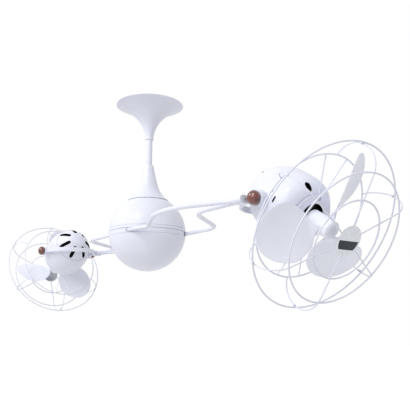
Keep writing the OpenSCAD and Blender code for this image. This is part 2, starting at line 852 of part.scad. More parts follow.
module badge() {
    color(chrome) {
        rod(badge_r, badge_s, badge_s + badge_t - 1);
        rod(badge_r - 1.5, badge_s, badge_s + badge_t);
    }
}

// ---- turning parts of a head ----

module rotor() {
    color(steel) {
        rod(shaft_r, shaft_back, shaft_front);
        rod(core_in_r - 0.5, core_back, core_front);
    }
}

module hub(phase) {
    dome = 8;
    color(white) difference() {
        union() {
            rod(hub_r, hub_back, hub_front - dome);
            intersection() {
                rod(hub_r, hub_front - dome - 1, hub_front);
                translate([0, 0, hub_front - 28]) sphere(r = 28);
            }
        }
        rod(shaft_r + fit_gap, hub_back - 1, shaft_front + 0.3);
        for (i = [0:2]) blade_place(phase, i) cross_rod(blade_stub_r + fit_gap, 9.8, hub_r + 2);
    }
}

module blade_place(phase, i) {
    rotate([0, 0, phase + i * 120]) translate([0, 0, blade_s]) children();
}

// Half the width of a blade at a distance from the head's axis.
function blade_w(r) = r > blade_wide_r
    ? blade_half_w * sqrt(max(0, 1 - pow((r - blade_wide_r) / (blade_tip_r - blade_wide_r), 2)))
    : blade_root_w + (blade_half_w - blade_root_w)
        * (1 - pow((blade_wide_r - r) / (blade_wide_r - blade_root_r), 1.7));

module blade(phase, i) {
    inner_len = blade_wide_r - blade_root_r;
    outer_len = blade_tip_r - blade_wide_r;
    inner_part = [for (k = [0:blade_steps]) blade_root_r + inner_len * k / blade_steps];
    outer_part = [for (k = [1:blade_steps]) blade_wide_r + outer_len * sin(90 * k / blade_steps)];
    radii = concat(inner_part, outer_part);
    one_side = [for (r = radii) [r, blade_w(r)]];
    other_side = [for (k = [len(radii) - 1:-1:0]) [radii[k], -blade_w(radii[k])]];
    color(white) blade_place(phase, i) union() {
        rotate([blade_pitch, 0, 0]) rotate([0, blade_rake, 0]) intersection() {
            translate([0, 0, -30]) linear_extrude(60) polygon(concat(one_side, other_side));
            translate([0, 0, blade_camber_r - blade_t / 2]) difference() {
                cross_rod(blade_camber_r, 0, blade_tip_r + 5, $fn = 180);
                cross_rod(blade_camber_r - blade_t, -1, blade_tip_r + 6, $fn = 180);
            }
        }
        cross_rod(blade_stub_r, 10, blade_root_r + 14);
    }
}

ceiling_bracket();
hanger_ball();
cross_pins();
canopy();
canopy_collar();
set_screws();
downrod();
coupler();
bell_cover();
main_axle();
axle_nut();
collector_drum();
bearing_races();
upper_shell();
lower_shell();
hub_casting();
bearings();
brush_block();
tube_grommets();
outer_tube(0);  // right_outer_tube
inner_tube(0);  // right_inner_tube
yoke(0);  // right_yoke
outer_tube(180);  // left_outer_tube
inner_tube(180);  // left_inner_tube
yoke(180);  // left_yoke
right_head() knob(-1);  // right_arm_knob
right_head() knob(1);  // right_free_knob
left_head() knob(-1);  // left_arm_knob
left_head() knob(1);  // left_free_knob
right_head() motor_shell();  // right_motor_shell
right_head() vent_cap();  // right_vent_cap
right_head() motor_bolts();  // right_motor_bolts
right_head() stator();  // right_stator
right_head() pivot_studs();  // right_pivot_studs
right_head() rear_guard();  // right_rear_guard
right_head() guard_screws();  // right_guard_screws
right_head() front_guard();  // right_front_guard
right_head() guard_ferrules();  // right_guard_ferrules
right_head() badge();  // right_badge
right_head() rotor();  // right_rotor
right_head() hub(right_blade_phase);  // right_hub
right_head() blade(right_blade_phase, 0);  // right_blade_1
right_head() blade(right_blade_phase, 1);  // right_blade_2
right_head() blade(right_blade_phase, 2);  // right_blade_3
left_head() motor_shell();  // left_motor_shell
left_head() vent_cap();  // left_vent_cap
left_head() motor_bolts();  // left_motor_bolts
left_head() stator();  // left_stator
left_head() pivot_studs();  // left_pivot_studs
left_head() rear_guard();  // left_rear_guard
left_head() guard_screws();  // left_guard_screws
left_head() front_guard();  // left_front_guard
left_head() guard_ferrules();  // left_guard_ferrules
left_head() badge();  // left_badge
left_head() rotor();  // left_rotor
left_head() hub(left_blade_phase);  // left_hub
left_head() blade(left_blade_phase, 0);  // left_blade_1
left_head() blade(left_blade_phase, 1);  // left_blade_2
left_head() blade(left_blade_phase, 2);  // left_blade_3
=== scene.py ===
import bmesh
import bpy
import json
import math
from mathutils import Matrix, Vector


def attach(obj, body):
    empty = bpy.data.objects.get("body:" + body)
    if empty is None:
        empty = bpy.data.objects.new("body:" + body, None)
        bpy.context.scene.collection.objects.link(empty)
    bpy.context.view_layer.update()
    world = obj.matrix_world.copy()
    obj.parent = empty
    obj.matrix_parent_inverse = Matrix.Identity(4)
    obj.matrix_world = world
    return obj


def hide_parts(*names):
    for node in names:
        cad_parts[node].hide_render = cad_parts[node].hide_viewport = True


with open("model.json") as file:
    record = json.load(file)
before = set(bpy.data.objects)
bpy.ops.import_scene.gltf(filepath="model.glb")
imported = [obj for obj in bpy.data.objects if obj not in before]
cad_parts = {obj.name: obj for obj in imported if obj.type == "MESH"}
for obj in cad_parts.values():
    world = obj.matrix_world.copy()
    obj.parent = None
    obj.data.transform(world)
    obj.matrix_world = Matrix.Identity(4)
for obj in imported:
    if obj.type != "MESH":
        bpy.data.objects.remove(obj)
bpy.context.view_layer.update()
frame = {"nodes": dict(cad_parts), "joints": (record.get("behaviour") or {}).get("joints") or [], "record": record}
print("frame loaded:", len(frame["nodes"]), "nodes")

mm = 0.001
slack = 0.05  # air round what sits in a bore, mm
tiny = 1e-6  # a point this near the axis lies on it, mm
joints = {joint["name"]: joint for joint in frame["joints"]}
sides = ("right", "left")


# shapes: each is a list of points in millimetres and a list of faces

def lathe(profile, steps=96, closed=False):
    # turns (radius, height) points about z; a point on the axis becomes a pole
    verts, faces, rows = [], [], []
    for radius, height in profile:
        if radius < tiny:
            rows.append([len(verts)] * steps)
            verts.append((0, 0, height))
        else:
            rows.append(list(range(len(verts), len(verts) + steps)))
            for i in range(steps):
                angle = 2 * math.pi * i / steps
                verts.append((radius * math.cos(angle), radius * math.sin(angle), height))
    pairs = list(zip(rows, rows[1:] + rows[:1])) if closed else list(zip(rows, rows[1:]))
    for low, high in pairs:
        for i in range(steps):
            j = (i + 1) % steps
            ring = [low[i], low[j], high[j], high[i]]
            face = [v for n, v in enumerate(ring) if v != ring[n - 1]]
            if len(face) > 2:
                faces.append(face)
    return verts, faces


def sweep(path, normal, section, closed=False):
    # lays a section along a flat path; section points are (across, along normal)
    path = [Vector(p) for p in path]
    normal = Vector(normal).normalized()
    count, size = len(path), len(section)
    verts, faces = [], []
    for i, point in enumerate(path):
        ahead = path[(i + 1) % count] if closed or i < count - 1 else point
        behind = path[i - 1] if closed or i > 0 else point
        across = normal.cross((ahead - behind).normalized())
        verts += [point + across * a + normal * b for a, b in section]
    for i in range(count if closed else count - 1):
        for k in range(size):
            a, b = i * size + k, i * size + (k + 1) % size
            c, d = (b + size) % len(verts), (a + size) % len(verts)
            faces.append([a, b, c, d])
    if not closed:
        faces.append(list(range(size))[::-1])
        faces.append(list(range(len(verts) - size, len(verts))))
    return verts, faces


def disc(radius, sides=14):
    return [(radius * math.cos(2 * math.pi * i / sides), radius * math.sin(2 * math.pi * i / sides))
            for i in range(sides)]


def roundedBox(width, height, radius, steps=4):
    # a rectangle section with round corners
    points = []
    for cx, cy, start in ((1, 1, 0), (-1, 1, 90), (-1, -1, 180), (1, -1, 270)):
        for i in range(steps + 1):
            angle = math.radians(start + 90 * i / steps)
            points.append((cx * (width / 2 - radius) + radius * math.cos(angle),
                           cy * (height / 2 - radius) + radius * math.sin(angle)))
    return points


def arcPoints(centre, radius, fromDeg, toDeg, steps):
    return [(centre[0] + radius * math.cos(math.radians(fromDeg + (toDeg - fromDeg) * i / steps)),
             centre[1] + radius * math.sin(math.radians(fromDeg + (toDeg - fromDeg) * i / steps)))
            for i in range(steps + 1)]


def eased(corners, radius, steps=5):
    # an open line of (x, y) corners with each inner corner rounded
    points = [corners[0]]
    for before, here, after in zip(corners, corners[1:], corners[2:]):
        b, h, a = Vector(before), Vector(here), Vector(after)
        cut = min(radius, (b - h).length / 2, (a - h).length / 2)
        start, end = h + (b - h).normalized() * cut, h + (a - h).normalized() * cut
        for i in range(steps + 1):
            t = i / steps
            points.append(tuple(start * (1 - t) ** 2 + h * 2 * t * (1 - t) + end * t ** 2))
    return points + [corners[-1]]


def moved(shape, place):
    return [tuple(place @ Vector(v)) for v in shape[0]], shape[1]


def joined(shapes):
    verts, faces = [], []
    for points, polys in shapes:
        faces += [[i + len(verts) for i in poly] for poly in polys]
        verts += list(points)
    return verts, faces


def turned(degrees, axis="Z"):
    return Matrix.Rotation(math.radians(degrees), 4, axis)


def shifted(x, y, z):
    return Matrix.Translation((x, y, z))


def around(count, phase=0.0):
    return [turned(phase + 360 * i / count) for i in range(count)]


def rod(radius, z0, z1, steps=32, edge=0.0):
    # a solid rod along z with softened ends
    if edge:
        profile = eased([(0, z0), (radius, z0), (radius, z1), (0, z1)], edge, 3)
    else:
        profile = [(0, z0), (radius, z0), (radius, z1), (0, z1)]
    return lathe(profile, steps)


def pipe(outer, inner, z0, z1, steps=48, edge=0.3):
    # a tube along z, its outer and inner edges softened
    middle = (inner, (z0 + z1) / 2)
    corners = [middle, (inner, z0), (outer, z0), (outer, z1), (inner, z1), middle]
    return lathe(eased(corners, edge, 3)[:-1], steps, closed=True)


# pieces: meshes in metres, each with a finish, a body and the nodes that it replaces

def makeMesh(name, shape):
    mesh = bpy.data.meshes.new(name)
    mesh.from_pydata([Vector(v) * mm for v in shape[0]], [], shape[1])
    work = bmesh.new()
    work.from_mesh(mesh)
    bmesh.ops.remove_doubles(work, verts=work.verts, dist=1e-7)
    bmesh.ops.recalc_face_normals(work, faces=work.faces)
    work.to_mesh(mesh)
    work.free()
    return mesh


def placed(name, data):
    # a new object in the scene, which holds a mesh, a lamp or a camera
    piece = bpy.data.objects.new(name, data)
    bpy.context.scene.collection.objects.link(piece)
    return piece


def carved(mesh, cutters, operation="DIFFERENCE"):
    # cuts closed shapes, none of which touch each other, out of a mesh
    piece = placed("work", mesh)
    tool = placed("tool", makeMesh("tool", joined(cutters)))
    change = piece.modifiers.new("carve", "BOOLEAN")
    change.operation = operation
    change.solver = "EXACT"
    change.object = tool
    graph = bpy.context.evaluated_depsgraph_get()
    graph.update()
    result = bpy.data.meshes.new_from_object(piece.evaluated_get(graph))
    bpy.data.objects.remove(tool)
    bpy.data.objects.remove(piece)
    return result


def withShapes(mesh, shapes):
    # adds closed shapes that are welded on, as they are
    extra = makeMesh("extra", joined(shapes))
    work = bmesh.new()
    work.from_mesh(mesh)
    work.from_mesh(extra)
    work.to_mesh(mesh)
    work.free()
    return mesh


def shade(mesh, sharpDeg):
    # smooth faces, with hard edges kept where faces meet at an angle
    work = bmesh.new()
    work.from_mesh(mesh)
    for face in work.faces:
        face.smooth = True
    for edge in work.edges:
        edge.smooth = len(edge.link_faces) == 2 and edge.calc_face_angle(0) < math.radians(sharpDeg)
    work.to_mesh(mesh)
    work.free()


def dress(piece, finish, body, replaced, sharpDeg=32):
    shade(piece.data, sharpDeg)
    piece.data.materials.clear()
    piece.data.materials.append(finish)
    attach(piece, body)
    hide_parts(*replaced)


def paintShadeInside(piece, isInside):
    # the faces that a test picks, those inside the wall, are painted black as shade, so the openings look dark
    piece.data.materials.append(blackNylonAndShade)
    for face in piece.data.polygons:
        face.material_index = 1 if isInside(face.center / mm) else 0


# finishes

def hexColour(code):
    # an sRGB hex value as linear red, green, blue and alpha
    channels = [int(code[i:i + 2], 16) / 255 for i in (0, 2, 4)]
    return [c / 12.92 if c <= 0.04045 else ((c + 0.055) / 1.055) ** 2.4 for c in channels] + [1.0]


def addNode(tree, kind, settings=None, links=None):
    # a key that starts with a dot is a property of the node, and any other is an input
    node = tree.nodes.new(kind)
    for key, value in (settings or {}).items():
        if isinstance(key, str) and key.startswith("."):
            setattr(node, key[1:], value)
        else:
            node.inputs[key].default_value = value
    for key, source in (links or {}).items():
        tree.links.new(source, node.inputs[key])
    return node


def startFinish(name):
    finish = bpy.data.materials.new(name)
    finish.use_nodes = True
    finish.node_tree.nodes.clear()
    return finish, finish.node_tree, addNode(finish.node_tree, "ShaderNodeTexCoord").outputs["Object"]


def endFinish(finish, settings, links):
    shader = addNode(finish.node_tree, "ShaderNodeBsdfPrincipled", settings, links)
    addNode(finish.node_tree, "ShaderNodeOutputMaterial", None, {"Surface": shader.outputs[0]})
    return finish


def perMm(size):
    # the scale at which a noise pattern has patches about size millimetres across
    return 1 / (size * mm)


def sprayedLacquer(name, settings):
    # white lacquer sprayed on steel: a clear gloss over a cool white, with a faint orange peel
    finish, tree, place = startFinish(name)
    cloud = addNode(tree, "ShaderNodeTexNoise",
                    {"Scale": perMm(settings["cloud"]), "Detail": 3.0}, {"Vector": place})
    colour = addNode(tree, "ShaderNodeMix", {".data_type": "RGBA", 6: hexColour(settings["dark"]),
                                             7: hexColour(settings["light"])}, {0: cloud.outputs[0]})
    # real orange peel is about 1.5 mm across, which is too fine to show here
    peel = addNode(tree, "ShaderNodeTexNoise",
                   {"Scale": perMm(settings["peel"]), "Detail": 1.0}, {"Vector": place})
    bumps = addNode(tree, "ShaderNodeBump", {"Distance": settings["depth"] * mm}, {"Height": peel.outputs[0]})
    return endFinish(finish, {"Roughness": settings["roughness"], "IOR": 1.42, "Coat Weight": settings["coat"],
                              "Coat Roughness": 0.15, "Coat IOR": 1.42},
                     {"Base Color": colour.outputs[2], "Normal": bumps.outputs[0]})


whiteLacquer = sprayedLacquer("whiteSprayedLacquer", {
    "dark": "dcdeec", "light": "e5e7f3", "roughness": 0.42, "coat": 0.2, "cloud": 60, "peel": 4,
    "depth": 0.008})


def mouldedAbs(settings):
    # white ABS, moulded: a satin skin with hardly a highlight, a little brighter than the lacquer
    finish, tree, place = startFinish("whiteMouldedAbs")
    cloud = addNode(tree, "ShaderNodeTexNoise",
                    {"Scale": perMm(settings["cloud"]), "Detail": 3.0}, {"Vector": place})
    colour = addNode(tree, "ShaderNodeMix", {".data_type": "RGBA", 6: hexColour(settings["dark"]),
                                             7: hexColour(settings["light"])}, {0: cloud.outputs[0]})
    # the mould's spark grain is about 0.1 mm across, and is drawn coarser to show
    grain = addNode(tree, "ShaderNodeTexNoise",
                    {"Scale": perMm(settings["grain"]), "Detail": 1.0}, {"Vector": place})
    bumps = addNode(tree, "ShaderNodeBump", {"Distance": settings["depth"] * mm}, {"Height": grain.outputs[0]})
    return endFinish(finish, {"Roughness": settings["roughness"], "IOR": 1.54,
                              "Specular IOR Level": settings["shine"]},
                     {"Base Color": colour.outputs[2], "Normal": bumps.outputs[0]})


whitePolymer = mouldedAbs({"dark": "ebedf9", "light": "f4f6ff", "roughness": 0.42, "cloud": 40, "grain": 2.5,
                           "depth": 0.01, "shine": 0.3})


def turnedWood(settings):
    # hardwood turned on a lathe and dipped in red-brown lacquer: soft grain under a deep, wet-looking gloss
    finish, tree, place = startFinish("lacqueredTurnedWood")
    drawn = addNode(tree, "ShaderNodeMapping", {"Scale": (0.25, 1.0, 1.0)}, {"Vector": place})
    grain = addNode(tree, "ShaderNodeTexNoise",
                    {"Scale": perMm(settings["grain"]), "Detail": 4.0, "Roughness": 0.6},
                    {"Vector": drawn.outputs[0]})
    colour = addNode(tree, "ShaderNodeMix", {".data_type": "RGBA", 6: hexColour(settings["dark"]),
                                             7: hexColour(settings["light"])}, {0: grain.outputs[0]})
    bumps = addNode(tree, "ShaderNodeBump", {"Distance": settings["depth"] * mm}, {"Height": grain.outputs[0]})
    return endFinish(finish, {"Roughness": 0.4, "IOR": 1.5, "Specular IOR Level": 0.3, "Coat Weight": 1.0,
                              "Coat Roughness": 0.03, "Coat IOR": 1.6},
                     {"Base Color": colour.outputs[2], "Normal": bumps.outputs[0]})


knobWood = turnedWood({"dark": "060100", "light": "84311d", "grain": 11.0, "depth": 0.02})


def platedMetal(name, settings):
    # metal that keeps a grain from polishing, plating or drawing, which blurs what it mirrors
    finish, tree, place = startFinish(name)
    along = addNode(tree, "ShaderNodeMapping", {"Scale": settings["stretch"]}, {"Vector": place})
    scratch = addNode(tree, "ShaderNodeTexNoise",
                      {"Scale": perMm(settings["grain"]), "Detail": 3.0, "Roughness": 0.6},
                      {"Vector": along.outputs[0]})
    colour = addNode(tree, "ShaderNodeMix", {".data_type": "RGBA", 6: hexColour(settings["dark"]),
                                             7: hexColour(settings["light"])}, {0: scratch.outputs[0]})
    rough = addNode(tree, "ShaderNodeMapRange",
                    {"To Min": settings["smooth"], "To Max": settings["rough"]}, {"Value": scratch.outputs[0]})
    bumps = addNode(tree, "ShaderNodeBump",
                    {"Distance": settings["depth"] * mm}, {"Height": scratch.outputs[0]})
    return endFinish(finish, {"Metallic": 1.0}, {"Base Color": colour.outputs[2], "Roughness": rough.outputs[0],
                                                 "Normal": bumps.outputs[0]})


# bright, mirror-like chrome on the badge
chromePlate = platedMetal("polishedChromePlate", {
    "dark": "b4b7bd", "light": "d2d4d9", "smooth": 0.05, "rough": 0.12, "grain": 6, "stretch": (1, 1, 1),
    "depth": 0.01})
# dull silver of plated fasteners and of the motor's irons
zincPlate = platedMetal("zincPlatedSteel", {
    "dark": "8f9298", "light": "b9bcc2", "smooth": 0.28, "rough": 0.45, "grain": 1.5, "stretch": (1, 1, 0.2),
    "depth": 0.01})
# warm, glossy strands of the windings
copperWire = platedMetal("enamelledCopperWire", {
    "dark": "7a3f22", "light": "c47a48", "smooth": 0.3, "rough": 0.42, "grain": 1.2, "stretch": (1, 0.15, 1),
    "depth": 0.05})


def mouldedGrain(name, settings):
    # moulded part with a fine spark grain that scatters the light
    finish, tree, place = startFinish(name)
    grain = addNode(tree, "ShaderNodeTexNoise",
                    {"Scale": perMm(settings["grain"]), "Detail": 2.0}, {"Vector": place})
    colour = addNode(tree, "ShaderNodeMix", {".data_type": "RGBA", 6: hexColour(settings["dark"]),
                                             7: hexColour(settings["light"])}, {0: grain.outputs[0]})
    bumps = addNode(tree, "ShaderNodeBump", {"Distance": settings["depth"] * mm}, {"Height": grain.outputs[0]})
    return endFinish(finish, {"Roughness": settings["roughness"], "IOR": 1.48},
                     {"Base Color": colour.outputs[2], "Normal": bumps.outputs[0]})


# soft, dull black of the tube grommets
blackRubber = mouldedGrain("blackMouldedRubber", {
    "dark": "111113", "light": "26262a", "roughness": 0.7, "grain": 1.5, "depth": 0.03})
# pale grey rubber, hardly told from the lacquer, round the tubes that leave the ball at a slant; its grey is
# painted shade at the slanted exit
paleRubberAndShade = mouldedGrain("paleRubberPaintedShade", {
    "dark": "a9abb8", "light": "bbbdc9", "roughness": 0.6, "grain": 1.5, "depth": 0.03})
# harder black with a low sheen, for the black plastic parts and the motor web; on the faces inside the housings it
# is painted shade
blackNylonAndShade = mouldedGrain("blackNylonAndPaintedShade", {
    "dark": "141416", "light": "232327", "roughness": 0.5, "grain": 1.0, "depth": 0.02})
# painted shade: a flat black given to the stator and rotor, so the housing's slots look dark inside
slotShadeBlack = mouldedGrain("paintedSlotShade", {
    "dark": "070708", "light": "121214", "roughness": 0.6, "grain": 1.2, "depth": 0.02})


def filledEnamel(settings):
    # dark enamel filled into the badge and polished flush: a deep blue-black gloss
    finish, tree, place = startFinish("darkGlassEnamel")
    cloud = addNode(tree, "ShaderNodeTexNoise",
                    {"Scale": perMm(settings["cloud"]), "Detail": 3.0}, {"Vector": place})
    colour = addNode(tree, "ShaderNodeMix", {".data_type": "RGBA", 6: hexColour(settings["dark"]),
                                             7: hexColour(settings["light"])}, {0: cloud.outputs[0]})
    return endFinish(finish, {"Roughness": 0.18, "IOR": 1.5, "Specular IOR Level": 0.25},
                     {"Base Color": colour.outputs[2]})


darkEnamel = filledEnamel({"dark": "0e1826", "light": "2b3646", "cloud": 5})

finishes = {"white_lacquer": whiteLacquer, "white_plastic": whitePolymer, "chrome": chromePlate,
            "knob_wood": knobWood, "zinc_steel": zincPlate, "black_plastic": blackNylonAndShade,
            "black_rubber": blackRubber, "copper_winding": copperWire}
for part in frame["record"]["subparts"]:  # every CAD piece gets its finish; most that show are replaced below
    data = frame["nodes"][part["node"]].data
    data.materials.clear()
    data.materials.append(finishes[part["material_slot"]])
for side in sides:  # the stator and rotor get the painted shade black, so the slots of the housing look dark inside
    for node in ("stator", "rotor"):
        frame["nodes"][side + "_" + node].data.materials[0] = slotShadeBlack
print("finishes made:", len(finishes))


# what hangs from the ceiling: canopy, collar and bell cover, in millimetres under it

canopy = {"length": 87.5, "rim": 88.0, "neck": 10.5, "wall": 1.3, "power": 1.65, "crowding": 1.3, "lip": 0.7,
          "lipRoom": 0.8, "rows": 48}


def canopyRadius(depth):
    t = max(0.0, 1 - depth / canopy["length"])
    return canopy["neck"] + (canopy["rim"] - canopy["neck"]) * t ** (canopy["power"] + t)


def addCanopy():
    # the rows crowd together near the rim, where the curve is tight
    rows, wall = canopy["rows"], canopy["wall"]
    depths = [canopy["length"] * (i / rows) ** canopy["crowding"] for i in range(rows + 1)]
    outer = [(canopyRadius(d), -d) for d in depths if d > canopy["lipRoom"]]
    inner = [(canopyRadius(d + wall) - wall, -d) for d in reversed(depths)]
    lip = canopy["lip"]
    edge = arcPoints((canopy["rim"] - lip, -lip), lip, 90, 0, 4)  # the rim is rolled, not sharp
    shell = placed("canopyShell", makeMesh("canopy", lathe(edge + outer + inner, 128, closed=True)))
    dress(shell, whiteLacquer, "ceiling_mount", ["canopy"])


addCanopy()

rodRadius = 8.25
collar = {"radius": 10.9, "height": 7.0, "edge": 0.8, "screw": 2.0, "screwReach": 20.0}


def screwHole(height):
    hole = rod(collar["screw"] + slack, 0, collar["screwReach"], 24)
    return moved(hole, shifted(0, 0, height) @ turned(-90, "X"))


def addCollar():
    top = -canopy["length"]
    ring = pipe(collar["radius"], rodRadius + slack, top - collar["height"], top, 64, collar["edge"])
    ring = carved(makeMesh("collar", ring), [screwHole(top - collar["height"] / 2)])
    dress(placed("canopyCollar", ring), whiteLacquer, "ceiling_mount", ["canopy_collar"])


addCollar()

ballDrop = 342.0
ball = {"radius": 97.0, "wall": 1.6, "bandUp": 8.7, "bandDown": 10.5, "topOpening": 30.0, "seam": 0.3}
bell = {"length": 94.2, "top": 11.8, "rim": 52.0, "gap": 1.9, "wall": 1.3, "neck": 7.0, "bore": 8.5,
        "edge": 0.8, "crowding": 1.4, "flare": 5, "rows": 48}
bellRimZ = -ballDrop + math.sqrt(ball["radius"] ** 2 - bell["rim"] ** 2) + bell["gap"]
bellTopZ = bellRimZ + bell["length"]


def bellRadius(depth):
    t = min(1.0, max(0.0, depth / bell["length"]))
    return bell["top"] + (bell["rim"] - bell["top"]) * (t + t ** bell["flare"]) / 2


def addBell():
    # the rows crowd together near the flared rim
    rows, wall, neck, edge = bell["rows"], bell["wall"], bell["neck"], bell["edge"]
    depths = [bell["length"] * (1 - (1 - i / rows) ** bell["crowding"]) for i in range(rows + 1)]
    outer = [(bellRadius(d), bellTopZ - d) for d in depths if d > edge]
    low = [neck + (bell["length"] - neck) * i / rows for i in range(rows + 1)]
    inner = [(bellRadius(d - wall) - wall, bellTopZ - d) for d in reversed(low)]
    bore = [(bell["bore"], bellTopZ - neck), (bell["bore"], bellTopZ)]
    corner = arcPoints((bell["top"] - edge, bellTopZ - edge), edge, 90, 0, 4)
    cover = makeMesh("bell", lathe(bore + corner + outer + inner, 128, closed=True))
    cover = carved(cover, [screwHole(bellTopZ - neck / 2)])
    dress(placed("bellCover", cover), whiteLacquer, "ceiling_mount", ["bell_cover"])


addBell()
print("hanging parts made")


# carousel: ball, hub, tubes and yokes

def ballArc(fromZ, toZ, radius, rows):
    a, b = math.asin(fromZ / radius), math.asin(max(-1, min(1, toZ / radius)))
    angles = [a + (b - a) * i / rows for i in range(rows + 1)]
    return [(abs(radius * math.cos(angle)), -ballDrop + radius * math.sin(angle)) for angle in angles]


def addBallShells():
    radius, inside, gap = ball["radius"], ball["radius"] - ball["wall"], ball["seam"]
    openZ = math.sqrt(radius ** 2 - ball["topOpening"] ** 2)
    openInsideZ = math.sqrt(inside ** 2 - ball["topOpening"] ** 2)
    up, down = ball["bandUp"], -ball["bandDown"]
    profile = ballArc(up + gap, openZ, radius, 40) + ballArc(openInsideZ, up, inside, 40)
    upper = placed("ballUpperShell", makeMesh("shell", lathe(profile, 128, closed=True)))
    dress(upper, whiteLacquer, "carousel", ["upper_shell"])
    outer = ballArc(down - gap, -radius, radius, 48)[:-1] + [(0, -ballDrop - radius)]
    inner = [(0, -ballDrop - inside)] + ballArc(-inside, down, inside, 48)[1:]
    lower = placed("ballLowerShell", makeMesh("shell", lathe(outer + inner + outer[:1], 128)))
    dress(lower, whiteLacquer, "carousel", ["lower_shell"])


addBallShells()

arm = {"reach": 505.0, "drop": 4.0, "tube": 4.75, "lugEnd": 488.0, "lugLength": 24.0, "lugSocket": 7.0,
       "lugRadius": 7.5, "lugBore": 5.35, "lugEdge": 1.0, "lugFloor": 0.2}
innerTube = {"start": (45.0, 71.0), "heading": 0.0, "turn": 51.0, "run": 115.0, "bends": (78.0, 107.0),
             "endY": -84.6, "seat": (14.0, 26.0)}
outerTube = {"start": (14.0, -86.0), "heading": 9.0, "dive": 27.0, "rise": 24.0, "run": 98.0,
             "bends": (25.0, 190.0, 60.0), "tail": 7.7, "endY": -95.7, "seat": (30.0, 46.0)}
yoke = {"halfWidth": 76.0, "depth": 97.0, "thick": 4.0, "height": 13.0, "armBoss": 16.0, "freeBoss": 12.5,
        "bossIn": 70.0, "bossOut": 80.0, "edge": 1.2, "bossEdge": 1.5, "short": 6.0,
        "blockShort": 0.6, "blockThin": 0.2}
knob = {"base": 80.3, "neck": 8.0, "radius": 13.5, "length": 17.0, "widest": 6.0, "socket": 12.0,
        "socketIn": 0.4, "stud": 4.0}
armZ = -ballDrop - arm["drop"]
tubeEnd = arm["lugEnd"] - arm["lugSocket"]
grommet = {"radius": 6.0, "proud": 0.9, "slack": 0.1, "round": 0.4}
hub = {"bearing": 23.5, "sleeve": 29.0, "bandInner": 78.0, "web": 5.0, "holes": 6, "holeRadius": 13.0,
       "holeCircle": 54.0, "groove": 1.4, "grooveDepth": 2.0, "grooveUp": 1.0, "low": -24.0, "high": 34.0,
       "under": 0.1, "bevel": 0.3, "pocket": 14.0, "shoulder": 3.0, "rebate": 0.9}


def sine(degrees):
    return math.sin(math.radians(degrees))


def cosine(degrees):
    return math.cos(math.radians(degrees))


def route(start, heading, steps):
    # walks runs and bends in the plane: a run is a length, and a bend is a radius and a turn
    point, angle = Vector(start), heading
    points = [tuple(point)]
    for step in steps:
        if isinstance(step, tuple):
            radius, turn = step
            side = 1 if turn > 0 else -1
            centre = point + Vector((-sine(angle), cosine(angle))) * radius * side
            first = math.degrees(math.atan2(point.y - centre.y, point.x - centre.x))
            arc = arcPoints(centre, radius, first, first + turn, max(6, int(abs(turn) / 2)))
            points += arc[1:]
            point, angle = Vector(arc[-1]), angle + turn
        else:
            point = point + Vector((cosine(angle), sine(angle))) * step
            points.append(tuple(point))
    return points


def innerRoute():
    turn, (first, second) = innerTube["turn"], innerTube["bends"]
    drop = innerTube["start"][1] - innerTube["endY"]
    middle = (drop - (first + second) * (1 - cosine(turn))) / sine(turn)
    points = route(innerTube["start"], 0, [innerTube["run"], (first, -turn), middle, (second, turn)])
    return points + [(tubeEnd, innerTube["endY"])]


def outerRoute():
    # the dive and the rise share what the other runs leave of the way to the yoke
    heading, dive, rise = outerTube["heading"], outerTube["dive"], outerTube["rise"]
    first, second, third = outerTube["bends"]
    bendsX = first * (sine(heading) + sine(dive)) + second * (sine(dive) + sine(rise)) + third * sine(rise)
    bendsY = first * (cosine(dive) - cosine(heading)) + second * (cosine(dive) - cosine(rise))
    bendsY += third * (1 - cosine(rise))
    leftX = tubeEnd - outerTube["tail"] - outerTube["start"][0] - outerTube["run"] * cosine(heading) - bendsX
    leftY = outerTube["endY"] - outerTube["start"][1] - outerTube["run"] * sine(heading) - bendsY
    runDown = (leftX * sine(rise) - leftY * cosine(rise)) / sine(dive + rise)
    runUp = (leftX * sine(dive) + leftY * cosine(dive)) / sine(dive + rise)
    steps = [outerTube["run"], (first, -heading - dive), runDown, (second, dive + rise), runUp, (third, -rise)]
    return route(outerTube["start"], heading, steps) + [(tubeEnd, outerTube["endY"])]


def tubeLine(tube):
    return shifted(tube["start"][0], tube["start"][1], armZ) @ turned(tube["heading"]) @ turned(90, "Y")


